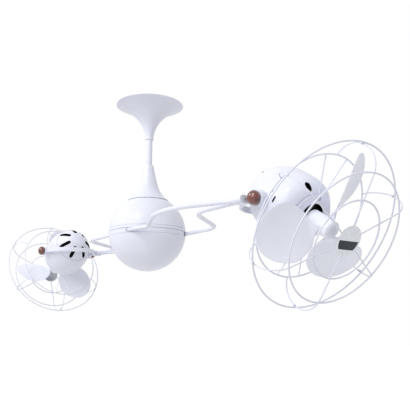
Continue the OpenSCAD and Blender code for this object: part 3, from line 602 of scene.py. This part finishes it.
def addHub():
    # band of the ball with a groove round it, a web, and the sleeve that holds the bearings
    radius, bevel, deep = ball["radius"] - hub["under"], hub["bevel"], hub["grooveDepth"]
    up, down = ball["bandUp"], -ball["bandDown"]
    top, base = hub["grooveUp"] + hub["groove"] / 2, hub["grooveUp"] - hub["groove"] / 2
    outer = [(math.sqrt(radius ** 2 - z ** 2), z) for z in (down + bevel, down / 2, base - bevel)]
    outer += [(radius - bevel, base), (radius - deep, base), (radius - deep, top), (radius - bevel, top)]
    outer += [(math.sqrt(radius ** 2 - z ** 2), z) for z in (top + bevel, up / 2, up - bevel)]
    webLow, webHigh = -arm["drop"] - hub["web"] / 2, -arm["drop"] + hub["web"] / 2
    bore, shoulder, pocket = hub["bearing"] + slack, hub["bearing"] - hub["shoulder"], hub["pocket"]
    low, high, sleeve, band = hub["low"], hub["high"], hub["sleeve"], hub["bandInner"]
    inner = [(radius - hub["rebate"], up), (band, up), (band, webHigh), (sleeve, webHigh), (sleeve, high),
             (bore, high), (bore, high - pocket), (shoulder, high - pocket), (shoulder, low + pocket),
             (bore, low + pocket), (bore, low), (sleeve, low), (sleeve, webLow), (band, webLow), (band, down),
             (radius - hub["rebate"] - hub["under"], down)]
    casting = makeMesh("hub", lathe([(r, z - ballDrop) for r, z in outer + inner], 144, closed=True))
    cutters = [moved(rod(hub["holeRadius"], armZ - 5, armZ + 5, 32), place @ shifted(hub["holeCircle"], 0, 0))
               for place in around(hub["holes"])]
    bore, seat = arm["tube"] + slack, grommet["radius"] + slack
    for side in (0, 180):
        for tube in (innerTube, outerTube):
            start = tube["seat"][0]
            stepped = lathe([(0, 0), (bore, 0), (bore, start), (seat, start), (seat, 80), (0, 80)], 40)
            cutters.append(moved(stepped, turned(side) @ tubeLine(tube)))
    casting = carved(casting, cutters)
    dress(placed("hubCasting", casting), whiteLacquer, "carousel", ["hub_casting"])


addHub()


def sleeveShape(tube, steps=48):
    # a rubber sleeve along a tube, cut off just proud of the ball
    line = shifted(0, 0, ballDrop) @ tubeLine(tube)
    away = (line.to_3x3() @ Vector((0, 0, 1))).normalized()
    limit = ball["radius"] + grommet["proud"]
    verts, rings = [], []
    outer, inner, soft = grommet["radius"], arm["tube"] + grommet["slack"], grommet["round"]
    start = tube["seat"][0] + grommet["slack"]
    # each ring's radius, whether it lies at the proud end, and how far it is drawn back to round that end
    edges = [(inner, False, 0), (outer, False, 0), (outer, True, soft + 0.1),
             (outer - soft + 0.05, True, 0.1), (inner + soft, True, 0), (inner, True, soft)]
    for radius, atEnd, less in edges:
        rings.append(len(verts))
        for i in range(steps):
            point = line @ Vector((radius * cosine(360 * i / steps), radius * sine(360 * i / steps), 0))
            along = -point.dot(away) + math.sqrt(point.dot(away) ** 2 - point.length_squared + limit ** 2)
            verts.append(point + away * (along - less if atEnd else start) - Vector((0, 0, ballDrop)))
    faces = []
    for low, high in zip(rings, rings[1:] + rings[:1]):
        faces += [[low + i, low + (i + 1) % steps, high + (i + 1) % steps, high + i] for i in range(steps)]
    return verts, faces


def addArms():
    for side, name in ((0, "right"), (180, "left")):
        for label, tube, points in (("Inner", innerTube, innerRoute()), ("Outer", outerTube, outerRoute())):
            line = sweep([(x, y, 0) for x, y in points], (0, 0, 1), disc(arm["tube"], 24))
            bent = makeMesh("tube", moved(line, turned(side) @ shifted(0, 0, armZ)))
            piece = placed(name + label + "Tube", bent)
            dress(piece, whiteLacquer, "carousel", [name + "_" + label.lower() + "_tube"])
            mesh = makeMesh("sleeve", moved(sleeveShape(tube), turned(side)))
            sleeve = placed(name + label + "Grommet", mesh)
            # the outer tubes' sleeves are pale grey, which is partly painted shade
            rubber = blackRubber if tube is innerTube else paleRubberAndShade
            dress(sleeve, rubber, "carousel", ["tube_grommets"])


addArms()


def addYokes():
    reach, half, bore = arm["reach"], yoke["halfWidth"], knob["stud"] + slack
    stop = reach - yoke["short"]  # the strap ends inside its bosses, short of their bores
    arc = arcPoints((reach - (yoke["depth"] - half), 0), half, -90, -270, 72)
    bow = [(stop, -half)] + arc + [(stop, half)]
    strap = roundedBox(yoke["thick"], yoke["height"], yoke["edge"])
    shapes = [sweep([(x, y, 0) for x, y in bow], (0, 0, 1), strap)]
    for boss, turn in ((yoke["armBoss"], 90), (yoke["freeBoss"], -90)):
        ring = pipe(boss, bore, yoke["bossIn"], yoke["bossOut"], 72, yoke["bossEdge"])
        shapes.append(moved(ring, shifted(reach, 0, 0) @ turned(turn, "X")))
    start, end = arm["lugEnd"] - arm["lugLength"], arm["lugEnd"]
    radius, soft = arm["lugRadius"], arm["lugEdge"]
    lugBore, lugFloor = arm["lugBore"], tubeEnd + arm["lugFloor"]
    for y in (innerTube["endY"], outerTube["endY"]):
        corners = [(0, end), (radius, end), (radius, start), (lugBore, start)]
        barrel = lathe(eased(corners, soft, 3) + [(lugBore, lugFloor), (0, lugFloor)], 48)
        shapes.append(moved(barrel, shifted(0, y, 0) @ turned(90, "Y")))
    # a block joins the lugs to the strap, and stays short of their end faces
    blockIn, blockOut, short = -half, outerTube["endY"], yoke["blockShort"]
    ends = [(x, (blockIn + blockOut) / 2, 0) for x in (start + short, end - short)]
    block = roundedBox(blockIn - blockOut, 2 * (radius - yoke["blockThin"]), soft)
    shapes.append(sweep(ends, (0, 0, 1), block))
    for side, name in ((0, "right"), (180, "left")):
        place = turned(side) @ shifted(0, 0, armZ)
        piece = placed(name + "Yoke", makeMesh("yoke", moved(joined(shapes), place)))
        dress(piece, whiteLacquer, "carousel", [name + "_yoke"])


addYokes()
print("carousel made")


# heads: each piece is made once in the head's own frame, then placed in both

def headPlace(side):
    # the head's own frame has z out of its front and x along its pivots
    axis = Vector(joints[side + "_blade_spin"]["axis"])
    pivot = Vector(joints[side + "_head_tilt"]["axis"])
    turn = Matrix((pivot, axis.cross(pivot), axis)).transposed().to_4x4()
    return Matrix.Translation(Vector(joints[side + "_head_tilt"]["pos_m"])) @ turn


headPlaces = {side: headPlace(side) for side in sides}


def addToHeads(name, mesh, finish, node, group="head", turns=None, sharpDeg=32, inside=None):
    for side in sides:
        piece = placed(side + name, mesh.copy())
        dress(piece, finish, side + "_" + group, [side + "_" + node], sharpDeg)
        if inside:
            paintShadeInside(piece, inside)
        piece.data.transform(headPlaces[side] @ (turns[side] if turns else Matrix()))


def addKnobs():
    r, n, long, widest = knob["radius"], knob["neck"], knob["length"], knob["widest"]
    hole = knob["stud"] + slack
    foot = [(hole, 0), (n, 0), (n + 0.8, 0.9), (r - 2.2, 1.6), (r - 0.7, 3.0)]
    dome = [(r * cosine(a), widest + (long - widest) * sine(a)) for a in range(0, 90, 5)]
    bore = [(0, knob["socket"]), (hole, knob["socket"]), (hole, knob["socketIn"])]
    mesh = makeMesh("knob", lathe(bore + eased(foot, 0.8, 3) + dome + [(0, long)], 72))
    for label, turn in (("arm", -90), ("free", 90)):
        place = turned(turn, "Y") @ shifted(0, 0, knob["base"] * mm)
        addToHeads(label.capitalize() + "Knob", mesh, knobWood, label + "_knob",
                   label + "_knob_body", {side: place for side in sides})


addKnobs()

housing = {"radius": 65.0, "back": 89.0, "front": 63.0, "wall": 2.0, "joint": 49.0, "middle": 5.0,
           "power": 5.0, "root": 0.385, "opening": 26.5, "step": 0.5,
           "lip": 7.0, "lipGap": 0.3, "lipRoot": 3.0, "tail": 9.0, "tailFront": -53.0,
           "boss": 11.0, "bossEdge": 1.0, "bossSunk": 2.5, "bossShort": 0.3,
           "slots": 7, "slotIn": 25.0, "slotOut": 53.0, "slotWidth": 11.0, "slotPhase": 35.0,
           "ports": 3, "portPhase": 113.0, "portLength": 19.0, "portWidth": 10.0, "portAt": (51.0, 0.0, 46.0),
           "portTilt": 38.0, "portCut": 22.0, "slitCut": 20.0,
           "slits": ((170.5, 25.0, 12.0, 4.0), (161.5, 12.0, 5.0, 1.6))}  # azimuth, height, length and width
web = {"radius": 46.0, "low": 40.0, "high": 44.0, "tower": 12.0, "towerLow": 43.0, "towerHigh": 52.0,
       "post": 5.5, "postLow": 14.3, "postHigh": 41.0, "posts": 4, "postCircle": 44.0, "postPhase": 45.0}
shaft = 5.0


def housingRadius(s, inset=0.0):
    wide, back, front = housing["radius"] - inset, housing["back"] - inset, housing["front"] - inset
    middle = housing["middle"]
    if s < -middle:
        return wide * math.sqrt(max(0.0, 1 - ((s + middle) / (back - middle)) ** 2))
    return wide * max(0.0, 1 - ((s + middle) / (front + middle)) ** housing["power"]) ** housing["root"]


def slotShape(width, length, depth):
    # a slot cutter with round ends, its length along x and its depth along z
    outline = arcPoints(((length - width) / 2, 0), width / 2, -90, 90, 12)
    outline += arcPoints(((width - length) / 2, 0), width / 2, 90, 270, 12)
    return sweep([(0, 0, -depth / 2), (0, 0, depth / 2)], (0, 1, 0), outline)


def addMotorShell():
    joint, wall, opening, frontS = housing["joint"], housing["wall"], housing["opening"], housing["front"]
    rows = [-joint + (frontS + joint) * sine(90 * i / 60) for i in range(61)]
    outer = [(housingRadius(s), s) for s in rows if housingRadius(s) > opening]
    inner = [(housingRadius(s, wall), s) for s in rows
             if s < frontS - wall and housingRadius(s, wall) > opening + 0.5]
    nose = [(opening, outer[-1][1]), (opening, inner[-1][1])]
    mesh = makeMesh("shell", lathe(outer + nose + inner[::-1], 120, closed=True))
    cutters = [moved(rod(knob["stud"] + slack, 50, 80, 32), turned(turn, "Y")) for turn in (-90, 90)]
    port = slotShape(housing["portWidth"], housing["portLength"], housing["portCut"])
    cutters += [moved(port, spot @ shifted(*housing["portAt"]) @ turned(housing["portTilt"], "Y"))
                for spot in around(housing["ports"], housing["portPhase"])]
    cutters += [moved(slotShape(width, length, housing["slitCut"]),
                      turned(azimuth) @ shifted(housing["radius"], 0, s) @ turned(90, "Y") @ turned(90))
                for azimuth, s, length, width in housing["slits"]]
    mesh = carved(mesh, cutters)
    boss = pipe(housing["boss"], knob["stud"] + slack, housing["radius"] - housing["bossSunk"],
                yoke["bossIn"] - housing["bossShort"], 48, housing["bossEdge"])
    mesh = withShapes(mesh, [moved(boss, turned(turn, "Y")) for turn in (-90, 90)])

    def isInside(point):
        return math.hypot(point.x, point.y) < housingRadius(point.z, wall / 2) and point.z < frontS - wall / 2

    # the faces inside the wall are painted black as shade, so the ports and slits look dark
    addToHeads("MotorShell", mesh, whiteLacquer, "motor_shell", inside=isInside)
    # the web inside the front carries the shaft and the posts of the motor bolts
    shapes = [pipe(web["radius"], shaft + slack, web["low"], web["high"], 72),
              pipe(web["tower"], shaft + slack, web["towerLow"], web["towerHigh"], 40, 0.8)]
    post = rod(web["post"], web["postLow"], web["postHigh"], 24)
    shapes += [moved(post, spot @ shifted(web["postCircle"], 0, 0))
               for spot in around(web["posts"], web["postPhase"])]
    addToHeads("MotorWeb", makeMesh("web", joined(shapes)), blackNylonAndShade, "motor_shell")


def capArc(inset, rows):
    depth = housing["back"] - inset - housing["middle"]
    last = math.acos((housing["joint"] - housing["middle"]) / depth)
    return [((housing["radius"] - inset) * math.sin(last * i / rows),
             -housing["middle"] - depth * math.cos(last * i / rows)) for i in range(rows + 1)]


def addVentCap():
    step, wall, joint, back = housing["step"], housing["wall"], housing["joint"], housing["back"]
    outer, inner = capArc(step, 48), capArc(step + wall, 48)
    mesh = makeMesh("cap", lathe(outer + inner[::-1] + [outer[0]], 120))
    length = housing["slotOut"] - housing["slotIn"]
    middle = shifted((housing["slotIn"] + housing["slotOut"]) / 2, 0, -(back + joint) / 2)
    mesh = carved(mesh, [moved(slotShape(housing["slotWidth"], length, back - joint - 1), spot @ middle)
                         for spot in around(housing["slots"], housing["slotPhase"])])
    lipRadius = housingRadius(-joint) - wall - housing["lipGap"]
    lip = pipe(lipRadius, lipRadius - wall, -joint - housing["lipRoot"], -joint + housing["lip"], 96)
    tail = pipe(housing["tail"], shaft + slack, -back + step + wall, housing["tailFront"], 40, 0.8)
    mesh = withShapes(mesh, [lip, tail])

    def isInside(point):
        wide, deep = housing["radius"] - step - wall / 2, back - step - wall / 2 - housing["middle"]
        across, along = math.hypot(point.x, point.y) / wide, (point.z + housing["middle"]) / deep
        return across ** 2 + along ** 2 < 1

    # the faces inside the wall are painted black as shade, so the slots look dark
    addToHeads("VentCap", mesh, whiteLacquer, "vent_cap", inside=isInside)


addMotorShell()
addVentCap()
print("housings made")

guard = {"rim": 155.0, "rimS": 107.5, "side": 118.0, "small": 71.0, "rearS": 64.0, "frontLess": 0.8, "ribs": 6,
         "ring": 3.0, "wire": 2.5, "weld": 0.5, "phase": 30.0, "spread": 13.0, "lean": 6.0,
         "plate": 43.0, "plateThick": 2.0, "plateS": 61.7, "screwCircle": 36.0, "screw": 2.0,
         "ferrule": 5.0, "ferruleWall": 0.8, "bead": 0.3, "badge": 27.5, "badgeThick": 3.0, "badgeOut": 3.0,
         "backing": 24.5, "backingThick": 2.0, "band": (-15.0, 1.0)}
wireStep = (guard["ring"] + guard["wire"]) / 2 - guard["weld"]
ribOut, ribIn = guard["rim"] - wireStep, guard["side"] + wireStep
rearHalf = guard["rimS"] - guard["rearS"]
frontHalf = rearHalf - guard["frontLess"]
frontWireS = guard["rimS"] + frontHalf
frontRingS = frontWireS + wireStep
badgeS = frontRingS + guard["badgeOut"]


def wireRing(radius, s):
    path = [(radius * cosine(a), radius * sine(a), s) for a in range(0, 360, 2)]
    return sweep(path, (0, 0, 1), disc(guard["ring"] / 2, 12), closed=True)


def ribPath(half, front):
    # the bend beside the largest ring, as points from that ring inwards: radius, and place along the axis
    turn = 2 * math.degrees(math.atan((ribOut - ribIn) / half))
    radius = half / sine(turn)
    way = 1 if front else -1
    angles = [turn * i / 24 for i in range(25)]
    return [(ribOut - radius + radius * cosine(a), guard["rimS"] + way * radius * sine(a)) for a in angles]


def wireShape(path):
    return sweep([(r, 0, s) for r, s in path], (0, 1, 0), disc(guard["wire"] / 2, 12))


def beadShape(radius):
    return lathe([(0, -radius)] + [(radius * cosine(a), radius * sine(a)) for a in range(-75, 76, 15)]
                 + [(0, radius)], 14)


def addRearGuard():
    path = ribPath(rearHalf, False)[1:]
    shapes = [wireRing(guard["side"], guard["rearS"])]
    bead = moved(beadShape(guard["wire"] / 2 + guard["bead"]), shifted(ribIn - 0.4, 0, guard["rearS"]))
    for spot in around(guard["ribs"], guard["phase"]):
        shapes += [moved(wireShape(path), spot), moved(bead, spot)]
    inner, outer = guard["plate"] - 2, guard["side"]
    for middle in (90, -90):
        for lean in (-1, 1):
            a, b = middle + lean * guard["lean"], middle + lean * guard["spread"]
            ends = [(inner * cosine(a), inner * sine(a), guard["rearS"] + 0.2),
                    (outer * cosine(b), outer * sine(b), guard["rearS"] + 0.2)]
            shapes.append(sweep(ends, (0, 0, 1), disc(guard["wire"] / 2, 12)))
    addToHeads("RearGuard", makeMesh("cage", joined(shapes)), whiteLacquer, "rear_guard")
    plate = makeMesh("plate", pipe(guard["plate"], housing["opening"], guard["plateS"],
                                   guard["plateS"] + guard["plateThick"], 96, 0.5))
    hole = rod(guard["screw"] + slack, 50, 80, 24)
    plate = carved(plate, [moved(hole, spot @ shifted(guard["screwCircle"], 0, 0)) for spot in around(3, 90)])
    addToHeads("GuardPlate", plate, whiteLacquer, "rear_guard")


def addFrontGuard():
    shapes = [wireRing(guard["rim"], guard["rimS"]), wireRing(guard["side"], frontRingS),
              wireRing(guard["small"], frontRingS + 1.2)]
    bend = ribPath(frontHalf, True)
    path = bend[:-6] + eased([bend[-6], bend[-1], (guard["badge"] - 5, badgeS - 1)], 14, 6)
    shapes += [moved(wireShape(path), spot) for spot in around(guard["ribs"], guard["phase"])]
    addToHeads("FrontGuard", makeMesh("cage", joined(shapes)), whiteLacquer, "front_guard")
    backing = makeMesh("backing", rod(guard["backing"], badgeS - guard["backingThick"], badgeS, 48, 0.4))
    addToHeads("BadgeBacking", backing, zincPlate, "front_guard")


def addFerrules():
    top = guard["rimS"] - guard["ring"] / 2 - 0.3
    radius = rearHalf / sine(2 * math.degrees(math.atan((ribOut - ribIn) / rearHalf)))
    sway = (radius - math.sqrt(radius ** 2 - (guard["rimS"] - top + guard["ferrule"]) ** 2)) / 2
    bore = guard["wire"] / 2 + sway + slack
    ring = pipe(bore + guard["ferruleWall"], bore, top - guard["ferrule"], top, 24)
    spots = around(guard["ribs"], guard["phase"])
    mesh = makeMesh("ferrules", joined([moved(ring, spot @ shifted(ribOut - sway, 0, 0)) for spot in spots]))
    addToHeads("GuardFerrules", mesh, whiteLacquer, "guard_ferrules")


def addBadge():
    # a bare domed plate with a rolled edge
    r, thick = guard["badge"], guard["badgeThick"]
    dome = [((r - 2.2) * cosine(a), badgeS + thick - 1.0 + 0.9 * sine(a)) for a in range(0, 90, 6)]
    edge = arcPoints((r - 1.0, badgeS + 1.0), 1.0, -90, 90, 8)
    mesh = makeMesh("badge", lathe([(0, badgeS)] + edge + dome + [(0, badgeS + thick - 0.1)], 96))
    addToHeads("Badge", mesh, chromePlate, "badge")
    # a plain dark band is let into its lower half
    (low, high), inside, base = guard["band"], r - 3.6, badgeS + thick - 1.0
    cover = [((r - 2.2) * cosine(a), base + 0.98 * sine(a)) for a in range(0, 90, 6)]
    cover = [(0, base - 1.0), (inside, base - 1.0)] + [p for p in cover if p[0] < inside] + [(0, base + 0.98)]
    slab = sweep([(0, 0, badgeS - 1), (0, 0, badgeS + thick + 2)], (0, 1, 0),
                 [(-r, low), (r, low), (r, high), (-r, high)])
    band = carved(makeMesh("band", lathe(cover, 96)), [slab], "INTERSECT")
    addToHeads("BadgeBand", band, darkEnamel, "badge")


addRearGuard()
addFrontGuard()
addFerrules()
addBadge()
print("guards made")

blade = {"tip": 138.0, "half": 50.0, "thick": 2.0, "wide": 77.0, "root": 23.0, "rootHalf": 13.0,
         "rootPitch": 40.0, "tipPitch": 22.0, "s": 104.0, "rake": 6.0, "skew": 8.0, "camber": 170.0,
         "stub": 5.5, "stubStart": 12.0, "stubEnd": 20.0, "neck": 16.0, "right": 194.0, "left": 223.0}
rotorHub = {"radius": 17.0, "back": 66.0, "front": 122.0, "dome": 8.0, "edge": 0.8, "step": 0.1}


def bladeHalf(r):
    # half the blade's width: an ellipse outside the widest point, and a swelling neck inside it
    if r > blade["wide"]:
        part = (r - blade["wide"]) / (blade["tip"] - blade["wide"])
        return blade["half"] * math.sqrt(max(0.0, 1 - part ** 2))
    part = (blade["wide"] - r) / (blade["wide"] - blade["root"])
    return blade["rootHalf"] + (blade["half"] - blade["rootHalf"]) * (1 - part ** 1.7)


def bladeStations():
    # radius, half width and half thickness, from the round stub out to the tip
    stub, thin = blade["stub"], blade["thick"] / 2
    neckStart, neckEnd = blade["stubEnd"], blade["root"] + blade["neck"]
    stations = [(blade["stubStart"], stub, stub), (neckStart, stub, stub)]
    for i in range(1, 9):
        r = neckStart + (neckEnd - neckStart) * i / 8
        t = (i / 8) ** 2 * (3 - 2 * i / 8)
        stations.append((r, stub * (1 - t) + bladeHalf(max(r, blade["root"])) * t, stub * (1 - t) + thin * t))
    stations += [(r, bladeHalf(r), thin) for r in
                 (neckEnd + (blade["wide"] - neckEnd) * i / 10 for i in range(1, 11))]
    stations += [(r, max(bladeHalf(r), 0.6), thin) for r in
                 (blade["wide"] + (blade["tip"] - blade["wide"]) * sine(90 * i / 18) for i in range(1, 19))]
    return stations


def bladeShape(count=28):
    # closed sections on a twisted and cambered sheet
    points, stations = [], bladeStations()
    for r, half, thick in stations:
        t = max(0.0, min(1.0, (r - blade["stubEnd"]) / (blade["tip"] - blade["stubEnd"])))
        pitch = blade["rootPitch"] + (blade["tipPitch"] - blade["rootPitch"]) * t ** 0.7
        for k in range(count):
            c, s = cosine(360 * k / count), sine(360 * k / count)
            w = half * math.copysign(abs(c) ** 0.6, c)
            h = thick * math.copysign(abs(s) ** 0.7, s)
            h += (blade["camber"] - math.sqrt(blade["camber"] ** 2 - w * w)) * t ** 0.5
            back = blade["s"] - r * math.tan(math.radians(blade["rake"]))
            points.append((r, blade["skew"] * t ** 2 + w * cosine(pitch) - h * sine(pitch),
                           back + w * sine(pitch) + h * cosine(pitch)))
    faces = [[row + k, row + (k + 1) % count, row + count + (k + 1) % count, row + count + k]
             for row in range(0, len(points) - count, count) for k in range(count)]
    return points, faces + [list(range(count))[::-1], list(range(len(points) - count, len(points)))]


def addBlades():
    mesh = makeMesh("blade", bladeShape())
    for i in range(3):
        turns = {side: turned(blade[side] + 120 * i) for side in sides}
        number = str(i + 1)
        addToHeads("Blade" + number, mesh, whitePolymer, "blade_" + number, "fan", turns, 50)
    r, back, front, dome, edge = (rotorHub[key] for key in ("radius", "back", "front", "dome", "edge"))
    cap = [(r * cosine(a), front - dome + dome * sine(a)) for a in range(0, 90, 9)] + [(0, front)]
    body = [(0, back), (r - edge, back), (r, back + edge), (r, front - dome - rotorHub["step"])]
    addToHeads("RotorHub", makeMesh("hub", lathe(body + cap, 72)), whitePolymer, "hub", "fan")


addBlades()
print("blades made")


# floor, light and camera

studio = {"floorZ": -2.4, "floorSize": 60.0, "floorDark": "f3f3f3", "floorLight": "f7f7f7", "floorPatch": 400,
          "floorShown": 0.46, "sky": 0.66}  # metres, but for the patches of the paint in millimetres
nearHead = (0.5, -0.09, -0.35)
lamps = {"topSoftbox": {"at": (0, 0, 2.6), "to": (0, 0, -0.3), "size": 5.0, "power": 5.0},
         "keySoftbox": {"at": (0.9, -3.2, 1.3), "to": (0, 0, -0.35), "size": 2.4, "power": 53.0},
         # two small lamps that show as bright points in the gloss of the knobs
         "leftSpark": {"at": (-1.36, -1.9, 1.17), "to": nearHead, "size": 0.4, "power": 13.0},
         "topSpark": {"at": (0.95, -2.06, 1.88), "to": nearHead, "size": 0.4, "power": 13.0}}


def shownRays(tree, low, high):
    # high where the background is looked at, straight or mirrored, and low for the light it sheds
    rays = addNode(tree, "ShaderNodeLightPath")
    seen = rays.outputs["Is Camera Ray"]
    for kind in ("Is Glossy Ray", "Is Transmission Ray"):
        either = addNode(tree, "ShaderNodeMath", {".operation": "MAXIMUM"}, {0: seen, 1: rays.outputs[kind]})
        seen = either.outputs[0]
    return addNode(tree, "ShaderNodeMapRange", {"To Min": low, "To Max": high}, {"Value": seen}).outputs[0]


def addFloor():
    half = studio["floorSize"] / 2
    mesh = bpy.data.meshes.new("studioFloor")
    corners = [(-half, -half, 0), (half, -half, 0), (half, half, 0), (-half, half, 0)]
    mesh.from_pydata(corners, [], [[0, 1, 2, 3]])
    floor = placed("studioFloor", mesh)
    floor.location.z = studio["floorZ"]
    # pale matt paint, which the camera sees as white but for the object's shadow
    finish, tree, place = startFinish("mattPaleFloor")
    patch = addNode(tree, "ShaderNodeTexNoise", {"Scale": perMm(studio["floorPatch"])}, {"Vector": place})
    colour = addNode(tree, "ShaderNodeMix", {".data_type": "RGBA", 6: hexColour(studio["floorDark"]),
                                             7: hexColour(studio["floorLight"])}, {0: patch.outputs[0]})
    endFinish(finish, {"Roughness": 0.9, "Emission Color": (1, 1, 1, 1)},
              {"Base Color": colour.outputs[2],
               "Emission Strength": shownRays(tree, 0.0, studio["floorShown"])})
    mesh.materials.append(finish)


def addWorld():
    world = bpy.data.worlds.new("studioWorld")
    world.use_nodes = True
    bpy.context.scene.world = world
    tree = world.node_tree
    tree.nodes.clear()
    light = addNode(tree, "ShaderNodeBackground", {"Color": (1, 1, 1, 1)},
                    {"Strength": shownRays(tree, studio["sky"], 1.0)})
    addNode(tree, "ShaderNodeOutputWorld", None, {"Surface": light.outputs[0]})


def addLamp(name, at, to, size, power):
    lamp = bpy.data.lights.new(name, "AREA")
    lamp.size = size
    lamp.energy = power
    holder = placed(name, lamp)
    holder.location = at
    holder.rotation_euler = (Vector(to) - Vector(at)).to_track_quat("-Z", "Y").to_euler()


addFloor()
addWorld()
for name, lamp in lamps.items():
    addLamp(name, **lamp)
print("floor and light made")

# the camera was fitted to the picture, which is frame pixels wide
view = {"place": (1.2246, -0.7262, -0.5493), "pitch": 11.21, "heading": 53.42, "focal": 560.66, "frame": 410,
        "sensor": 36.0, "near": 0.01}


def addCamera():
    lens = bpy.data.cameras.new("photoCamera")
    lens.sensor_width = view["sensor"]
    lens.lens = view["sensor"] * view["focal"] / view["frame"]
    lens.clip_start = view["near"]
    camera = placed("photoCamera", lens)
    camera.location = view["place"]
    camera.rotation_euler = (math.radians(90 + view["pitch"]), 0, math.radians(view["heading"]))
    bpy.context.scene.camera = camera


addCamera()
bpy.context.scene.view_settings.view_transform = "Standard"
print("scene ready")
